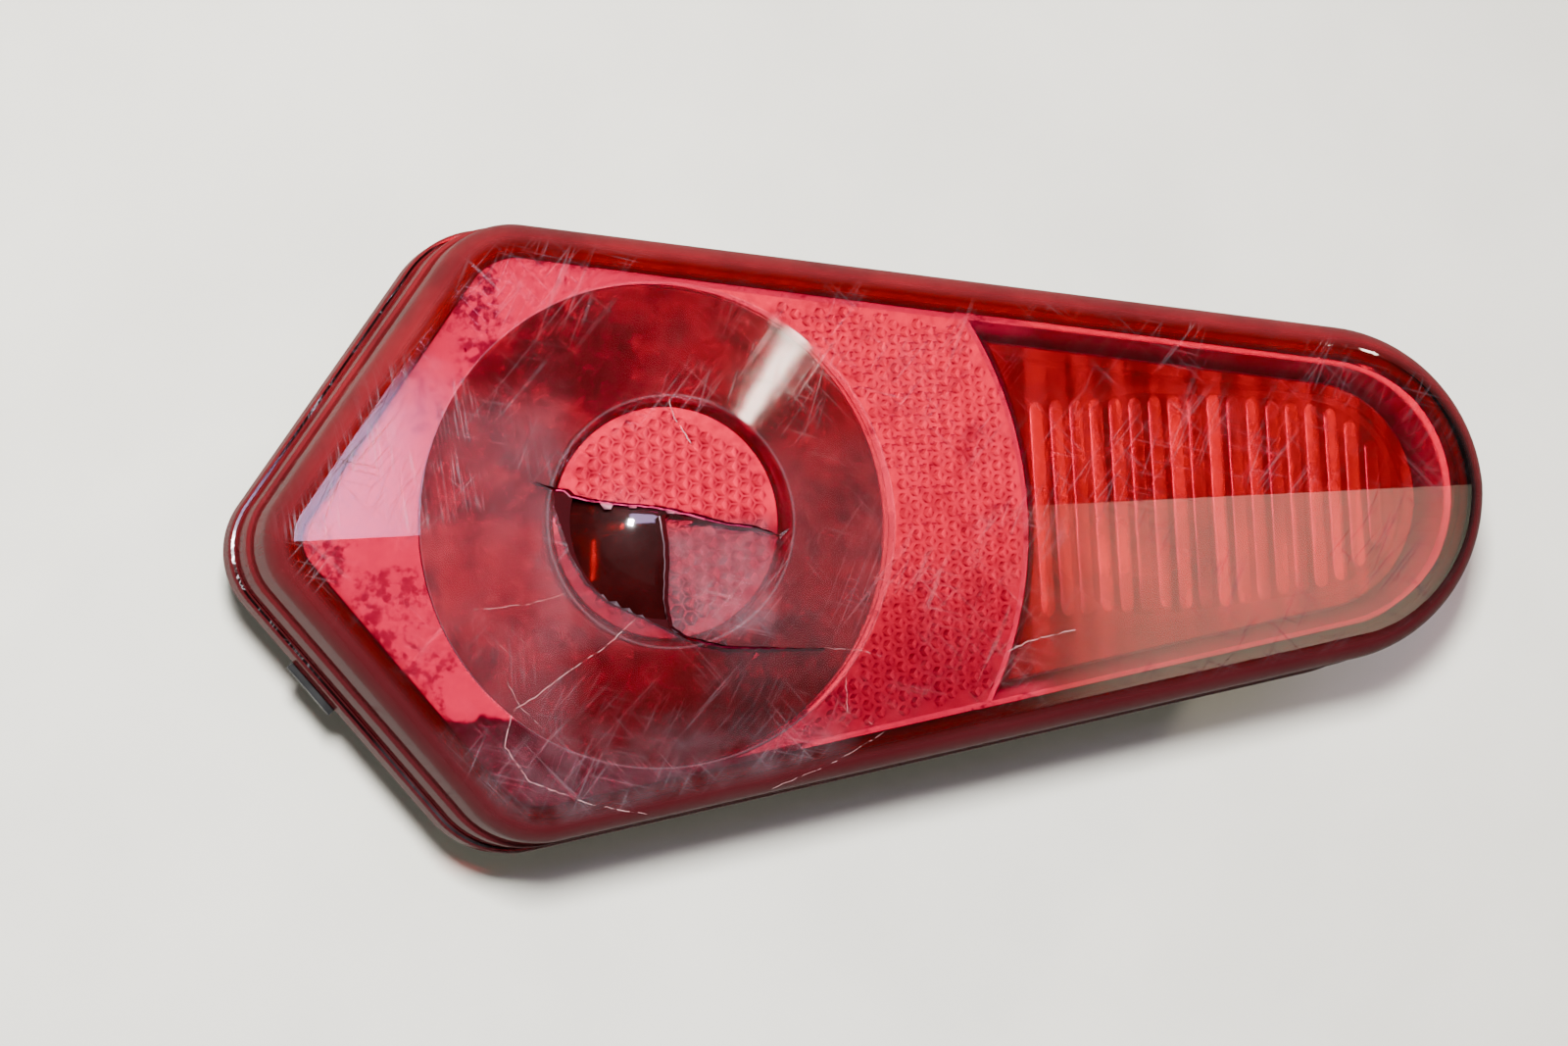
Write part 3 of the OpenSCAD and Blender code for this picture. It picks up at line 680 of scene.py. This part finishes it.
# ================================================================ reflex cells
CELL = 2.5                                  # across the flats of a hexagonal cell
COLUMNS, ROWS = range(-30, 31), range(-24, 25)      # enough cells to pass every edge of the panel
FLAT_TILT, FLAT_SPREAD = 0.31, 0.04         # radians a flat rises by towards +X, to face the flash
DISC_TOP = insert_high.z - 0.05


def corner_cubes(bm, covers, top, depth_share, glint=None, fill=0.72):
    """Honeycomb of corner-cube cells, highest at top, wherever covers(x, y) holds.

    depth_share is their depth as a share of a true corner cube's, and fill the share of the pitch they fill.
    glint(x, y) is the chance that a cell carries its pair of small flats.
    """
    side = CELL / math.sqrt(3)
    column = 1.5 * side
    unit = side * math.sqrt(0.5) * depth_share
    r = side * fill
    rng = random.Random(5)
    for i in COLUMNS:
        cx = MAIN_X + 40 + i * column
        for j in ROWS:
            cy = (j + 0.5 * (i % 2)) * CELL
            if not covers(cx, cy):
                continue
            rim = []
            for k in range(6):
                turn = math.radians(60 * k)
                x, y = cx + r * math.cos(turn), cy + r * math.sin(turn)
                rim.append(bm.verts.new((x, y, top - unit * (k % 2))))
            middle = bm.verts.new((cx, cy, top - unit * 2))
            for k in (1, 3, 5):
                bm.faces.new((middle, rim[k], rim[(k + 1) % 6]))
                bm.faces.new((middle, rim[k - 1], rim[k]))
            if glint and rng.random() < glint(cx, cy):
                for side_x in (-1, 1):
                    place = (cx + side_x * 0.36 * CELL + rng.uniform(-0.08, 0.08), cy + 0.55, top + 0.03)
                    flat(bm, place, 0.85 * rng.uniform(0.7, 1.1), 0.3, rng)


def flat(bm, place, length, width, rng):
    """Small flat, tilted along X to face the flash."""
    x, y, z = place
    rise = length / 2 * math.tan(rng.gauss(FLAT_TILT, FLAT_SPREAD))
    corners = [bm.verts.new((x + u * length / 2, y + v * width / 2, z + u * rise))
               for u, v in ((-1, -1), (1, -1), (1, 1), (-1, 1))]
    bm.faces.new(corners).material_index = 2


def backing_plate(bm, loops, keep, z):
    """Flat plate at height z over the loops, in the object's second material."""
    verts, faces = filled(loops, [], keep)
    lay_sheet(bm, verts, faces, lambda x, y: z, 1)


def make_reflex_field():
    """The reflex panel: cells on a backing plate, between the bullseye and the window."""
    plate_inset, cell_inset = 9.4, 10.6
    plate_r = (BULL_R + 0.7, 66.0)
    cell_r = (BULL_R + 1.7, 65.0)
    edge, cell_edge = outline(plate_inset), outline(cell_inset)

    def within(x, y, radii, border):
        r = math.hypot(x - MAIN_X, y)
        return radii[0] < r < radii[1] and x > plate_low.x and inside((x, y), border)

    def glint(x, y):
        patches = 0.6 + 0.4 * noise.noise((x / 9, y / 9, 0))
        return 0.95 * fade(y, -6, 10) * fade(x - MAIN_X, 70, 44) * patches

    bm = bmesh.new()
    corner_cubes(bm, lambda x, y: within(x, y, cell_r, cell_edge), plate_high.z, 0.35, glint)
    backing_plate(bm, [edge] + [circle_points(r, 180) for r in plate_r],
                  lambda p: within(p[0], p[1], plate_r, edge), plate_high.z - 0.75)
    field = add_object("reflex_field", bm, smooth=False)
    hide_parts("reflex_panel")
    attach(field, "lamp")
    return field


def make_insert():
    """The disc's own reflex cells on a thin plate, broken along with the disc."""
    bm = bmesh.new()
    shrink, border = 0.985, 1.6
    broken = [(MAIN_X + (x - MAIN_X) * shrink, y * shrink) for x, y in hole]
    r_in = insert_high.y

    def covers(x, y):
        return math.hypot(x - MAIN_X, y) < r_in - border and not inside((x, y), broken)

    corner_cubes(bm, covers, DISC_TOP, 0.3, fill=0.85)
    edge = circle_points(r_in, 96)
    for z in (insert_low.z, insert_low.z + 0.3):
        backing_plate(bm, [edge, broken], lambda p: inside(p, edge) and not inside(p, broken), z)
    insert = add_object("disc_reflex", bm, smooth=False)
    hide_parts("centre_reflex_insert")
    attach(insert, "lamp")
    return insert


# ================================================================ threads, flutes and cracks
THREAD_PITCH, THREAD_CREST, THREAD_ROOT, THREAD_TOP = 1.0, 2.98, 2.45, 15.4
SHANK = ((2.55, 15.5), (2.55, 16.35), (3.38, 16.45), (3.38, 26.9),          # radius and height
         (5.3, 27.0), (5.5, 27.2), (5.5, 29.3), (5.3, 29.5))


def frame_places(prefix):
    """(x, y) in mm of the record's mounts whose names start with prefix."""
    mounts = [m for m in frame["record"]["mounts"] if m["name"].startswith(prefix)]
    return [(m["pos_m"][0] / MM, m["pos_m"][1] / MM) for m in mounts]


def thread_ring(z, sides):
    """Radius at each of the sides of one level of the thread, which tapers in at its lower end."""
    radii = []
    for k in range(sides):
        phase = (z / THREAD_PITCH - k / sides) % 1.0
        r = THREAD_ROOT + (THREAD_CREST - THREAD_ROOT) * (1 - abs(2 * phase - 1)) ** 0.9
        radii.append(min(r, THREAD_ROOT + (z + 0.2) * 0.6 + 0.02))
    return radii


def make_studs():
    """M6 studs with a rolled thread, a shank and a foot."""
    bm = bmesh.new()
    sides, step = 40, 0.125
    levels = [(thread_ring(i * step, sides), i * step) for i in range(math.ceil(THREAD_TOP / step))]
    levels += [([r] * sides, z) for r, z in SHANK]
    for cx, cy in frame_places("stud_"):
        rings = []
        for radii, z in levels:
            turns = [(r, math.tau * k / sides) for k, r in enumerate(radii)]
            rings.append([bm.verts.new((cx + r * math.cos(t), cy + r * math.sin(t), z)) for r, t in turns])
        for lower, upper in zip(rings, rings[1:]):
            stitch(bm, lower, upper)
        bm.faces.new(rings[0])
        bm.faces.new(rings[-1])
    studs = add_object("threaded_studs", bm, sharp=35)
    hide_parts("mounting_studs")
    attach(studs, "lamp")
    return studs


FLUTE_PITCH, FLUTES, FLUTE_START, FLUTE_HALF = 3.7, 18, 72.0, 19.0
FLUTE_R, SHORTEST_FLUTE = 1.32, 3
WINDOW_R = 70.4                             # where the window starts, from the main bulb axis


def make_flutes():
    """Window plate with a rounded rib at each flute, its ends domed."""
    bm = bmesh.new()
    foot = flutes_low.z + 0.6
    plate, rib_edge = outline(11.9, 12), outline(15.2)

    def keep(p):
        return math.hypot(p[0] - MAIN_X, p[1]) > WINDOW_R and inside((p[0], p[1]), plate)

    verts, faces = filled([plate, circle_points(WINDOW_R, 180)], [], keep)
    for z in (foot + 0.05, foot + 1.0):
        lay_sheet(bm, verts, faces, lambda x, y: z)
    for i in range(FLUTES):
        cx = MAIN_X + FLUTE_START + i * FLUTE_PITCH
        half = FLUTE_HALF
        while half > SHORTEST_FLUTE and not all(inside((cx + dx, half), rib_edge) for dx in (-1.3, 1.3)):
            half -= 0.25
        if half > SHORTEST_FLUTE:
            rib(bm, cx, half, FLUTE_R, foot + 0.95, flutes_high.z - 0.02)
    window = add_object("fluted_window", bm, sharp=50)
    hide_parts("fluted_lens")
    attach(window, "lamp")
    return window


def rib(bm, cx, half, r, z0, z1):
    """Rounded rib along Y from -half to half, r wide either side of cx."""
    across, along = 10, 40
    rows = []
    for j in range(along + 1):
        t = -1 + 2 * j / along
        y = half * math.copysign(1 - (1 - abs(t)) ** 1.6, t) if t else 0.0
        end = min(1.0, (half - abs(y)) / (r * 1.2))
        swell = math.sqrt(max(0.0, 1 - (1 - end) ** 2))
        w = r * max(swell, 0.08)
        h = (z1 - z0) * max(swell, 0.03)
        row = []
        for i in range(across + 1):
            a = math.pi * i / across
            row.append(bm.verts.new((cx - w * math.cos(a), y, z0 + h * math.sin(a))))
        rows.append(row)
    for low, high in zip(rows, rows[1:]):
        for i in range(across):
            bm.faces.new((low[i], low[i + 1], high[i + 1], high[i]))


LINE_STEP, LINE_STRAY, LINE_LIFT = 0.8, 0.12, 0.012      # the lift is above the lens

# Runs of points about the main bulb axis, each with the line's width. They were found on the photo one by
# one, as the corners of the hole were.
CRACKS = [
    ([(-6.5, -15.5), (-12.4, -20.4), (-19.5, -24.9), (-23.5, -27.9), (-26.6, -29.6), (-27.5, -31.7),
      (-28.5, -35.8), (-24.6, -41.8), (-14.7, -46.2), (-4.7, -48.6)], 0.16),
    ([(-18.4, -11.1), (-24, -12.4), (-33.6, -12.9)], 0.09),
    ([(-28.3, -24.3), (-25.8, -29.4), (-22.3, -32.9)], 0.09),
    ([(26.5, -22.4), (33.4, -23.1), (38.0, -24.4)], 0.1),
    ([(31, -27.6), (31, -33.5), (37.5, -36.8)], 0.09),
    ([(37.5, -37.3), (28, -42.0), (17, -45.7)], 0.09),
    ([(59.9, -24.9), (64, -23.2), (73.9, -21.5)], 0.24),
    ([(1.0, 20.4), (1.6, 17.2), (3.4, 14.4), (4.4, 12.6)], 0.2),
]


def wander(points, step, stray, rng):
    """The run of points split to about step, each point moved at random by up to stray."""
    line = []
    for p, q in zip(points, points[1:]):
        n = max(1, round(math.dist(p, q) / step))
        line += [(p[0] + (q[0] - p[0]) * k / n + rng.uniform(-stray, stray),
                  p[1] + (q[1] - p[1]) * k / n + rng.uniform(-stray, stray)) for k in range(n)]
    return line + [points[-1]]


def make_cracks():
    """Pale hairlines where the lens has cracked or is deeply scratched, on its surface."""
    bm = bmesh.new()
    rng = random.Random(11)
    for points, width in CRACKS:
        line = wander(points, LINE_STEP, LINE_STRAY, rng)
        last = None
        for i, p in enumerate(line):
            ahead, behind = line[min(i + 1, len(line) - 1)], line[max(i - 1, 0)]
            dx, dy = ahead[0] - behind[0], ahead[1] - behind[1]
            length = math.hypot(dx, dy)
            taper = 0.25 if i in (0, len(line) - 1) else 1.0
            w = width * rng.uniform(0.35, 1.0) * taper
            pair = []
            for side in (-1, 1):
                x = p[0] + MAIN_X - side * dy / length * w / 2
                y = p[1] + side * dx / length * w / 2
                pair.append(bm.verts.new((x, y, outer_height(x, y) + LINE_LIFT)))
            if last:
                bm.faces.new((last[0], last[1], pair[1], pair[0]))
            last = pair
    cracks = add_object("lens_cracks", bm)
    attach(cracks, "lamp")
    return cracks


# ================================================================ build
dress(make_lens(), red_lens_material())
dress(make_cracks(), crack_material())

FIELD_SHADE_Y, DISC_SHADE_Y = (-32, 10), (-3, 3)    # Y in mm, from full painted shade to fully bright
dress(make_reflex_field(),
      reflex_material("reflex_cells", (0.29, 0.15, 0.18), (0.03, 0.018, 0.024), FIELD_SHADE_Y, 0.22,
                      plate_high.z),
      # painted shade: the dark backing shows as dark gaps between the cells
      reflex_material("reflex_backing_shade", (0.012, 0.007, 0.008), (0.01, 0.006, 0.008), FIELD_SHADE_Y, 0.3),
      glint_material())
dress(make_insert(),
      reflex_material("disc_cells", (0.3, 0.17, 0.2), (0.032, 0.02, 0.026), DISC_SHADE_Y, 0.1, DISC_TOP),
      # painted shade: the dark backing shows as dark gaps between the disc's cells
      reflex_material("disc_backing_shade", (0.07, 0.04, 0.045), (0.014, 0.01, 0.013), DISC_SHADE_Y, 0.1))

steel = plain_material("plated_steel", (0.72, 0.7, 0.66), 0.3, 1.0)
black = plain_material("black_moulding", (0.007, 0.007, 0.0075), 0.6, specular_ior_level=0.12)
rubber = plain_material("soft_rubber", (0.015, 0.015, 0.016), 0.7)
brass = plain_material("plated_brass", (0.76, 0.62, 0.34), 0.28, 1.0)
aged = plain_material("aged_reflector", (0.05, 0.03, 0.03), 0.4, 0.2)
sooty = plain_material("sooted_reflector", (0.008, 0.006, 0.006), 0.7, specular_ior_level=0.1)
clear = clear_material("clear_glass", (0.97, 0.97, 0.97))
dome_glass = clear_material("dome_plastic", (0.22, 0.018, 0.02), 0.03, 0.07)

LOOKS = {
    bezel_material(): ("inner_bezel",),
    hood_material(): ("lamp_hood",),
    aged: ("window_reflector",),
    sooty: ("main_reflector",),
    black: ("housing", "main_socket_body", "marker_socket_body", "main_bulb_insulator"),
    rubber: ("sealing_bead", "main_socket_gasket", "marker_socket_gasket", "stud_pads", "breather_cap"),
    steel: ("rear_screws", "main_socket_shell", "main_bulb_filaments", "marker_bulb_filament",
            "plunger_springs", "main_bulb_contacts"),
    brass: ("main_bulb_cap", "main_bulb_pins", "main_socket_terminals", "marker_socket_contacts",
            "contact_plungers"),
    clear: ("main_bulb_glass", "marker_bulb_glass", "main_bulb_stem"),
    dome_glass: ("condenser_dome",),
}
for material, names in LOOKS.items():
    for name in names:
        dress(frame["nodes"][name], material)
dress(make_studs(), steel)
dress(make_flutes(), flute_material())


# ================================================================ stage, light and camera
def sheet(name, half):
    """Flat square, its sides 2 * half long, in mm."""
    bm = bmesh.new()
    bmesh.ops.create_grid(bm, x_segments=1, y_segments=1, size=half)
    return add_object(name, bm)


def make_floor():
    """Plain pale floor, just under the stud tips."""
    floor = sheet("floor", 3000)
    floor.location.z = -0.0001
    s = Shader("pale_floor")
    tone = s.mix(s.ramp(s.noise(14, 5.0), 0.3, 0.7), (0.78, 0.768, 0.67), (0.7, 0.69, 0.6))
    base = s.principled(base_color=tone, roughness=0.7)
    dress(floor, s.finish(base))


def area_light(name, place, target, size, power, color=(1, 1, 1)):
    data = bpy.data.lights.new(name, "AREA")
    data.shape = "RECTANGLE"
    data.size, data.size_y = size
    data.energy = power
    data.color = color
    lamp = bpy.data.objects.new(name, data)
    lamp.location = place
    lamp.rotation_euler = (Vector(target) - Vector(place)).to_track_quat("-Z", "Y").to_euler()
    bpy.context.scene.collection.objects.link(lamp)


def make_camera():
    """Camera at the photo's viewing angle; the tilts, offsets and range were solved from the photo."""
    tilt_x, tilt_y, tilt_z = -0.061, 0.264, 0.063
    turn = Matrix.Rotation(tilt_x, 3, "X") @ Matrix.Rotation(tilt_y, 3, "Y") @ Matrix.Rotation(tilt_z, 3, "Z")
    aim_x, aim_y, distance = 30.35, 2.3, 740.4      # the view axis's offset from the lamp, and the range
    centre = Vector((MAIN_X, 0, LENS_Z + 3))
    place = centre + turn.transposed() @ Vector((aim_x, aim_y, distance))
    data = bpy.data.cameras.new("camera")
    data.sensor_width = 36
    data.lens = 96.2
    camera = bpy.data.objects.new("camera", data)
    camera.matrix_world = Matrix.Translation(place * MM) @ turn.transposed().to_4x4()
    bpy.context.scene.collection.objects.link(camera)
    bpy.context.scene.camera = camera
    return camera


def make_world():
    """Soft surroundings, brighter towards the horizon than overhead."""
    world = bpy.data.worlds.new("soft_studio")
    world.use_nodes = True
    tree = world.node_tree
    background = tree.nodes["Background"]
    where = tree.nodes.new("ShaderNodeTexCoord")
    split = tree.nodes.new("ShaderNodeSeparateXYZ")
    height = tree.nodes.new("ShaderNodeMapRange")
    height.interpolation_type = "SMOOTHSTEP"
    for name, value in (("From Min", 0.2), ("From Max", 0.93), ("To Min", 0.3), ("To Max", 0.1)):
        height.inputs[name].default_value = value
    tree.links.new(where.outputs["Generated"], split.inputs[0])
    tree.links.new(split.outputs["Z"], height.inputs["Value"])
    tree.links.new(height.outputs["Result"], background.inputs["Strength"])
    background.inputs["Color"].default_value = (1.0, 0.96, 0.92, 1)
    bpy.context.scene.world = world


def card(name, place, size, color, strength, soft=0.3):
    """Glowing card over the lamp, facing down, that fades towards its edges."""
    panel = sheet(name, 500)
    panel.scale = (*size, 1)
    panel.location = place
    s = Shader(name + "_glow")
    fades = [s.ramp(s.math("ABSOLUTE", s.axis(axis)), 0.5 * (1 - soft * 2), 0.5, 1.0, 0.0) for axis in "XY"]
    glow = s.node("ShaderNodeEmission")
    glow.inputs["Color"].default_value = (*color, 1)
    s.link(s.times(*fades, strength), glow.inputs["Strength"])
    dress(panel, s.finish(glow))


make_floor()
make_world()
camera = make_camera()
area_light("window", (0.727, 0.732, 0.79), (-0.03, 0.01, 0.08), (0.07, 0.3), 5, (1, 0.88, 0.74))
flash_place = camera.matrix_world @ Vector((0, 0.09, 0))
area_light("flash", flash_place, (0.0, 0.0, 0.06), (0.06, 0.045), 19)
card("upper_card", (-0.1, 0.2, 1.55), (0.66, 0.25), (0.75, 0.55, 1.0), 15, 0.12)
card("right_card", (0.64, -0.12, 1.5), (0.32, 0.3), (1.0, 0.95, 0.7), 4)
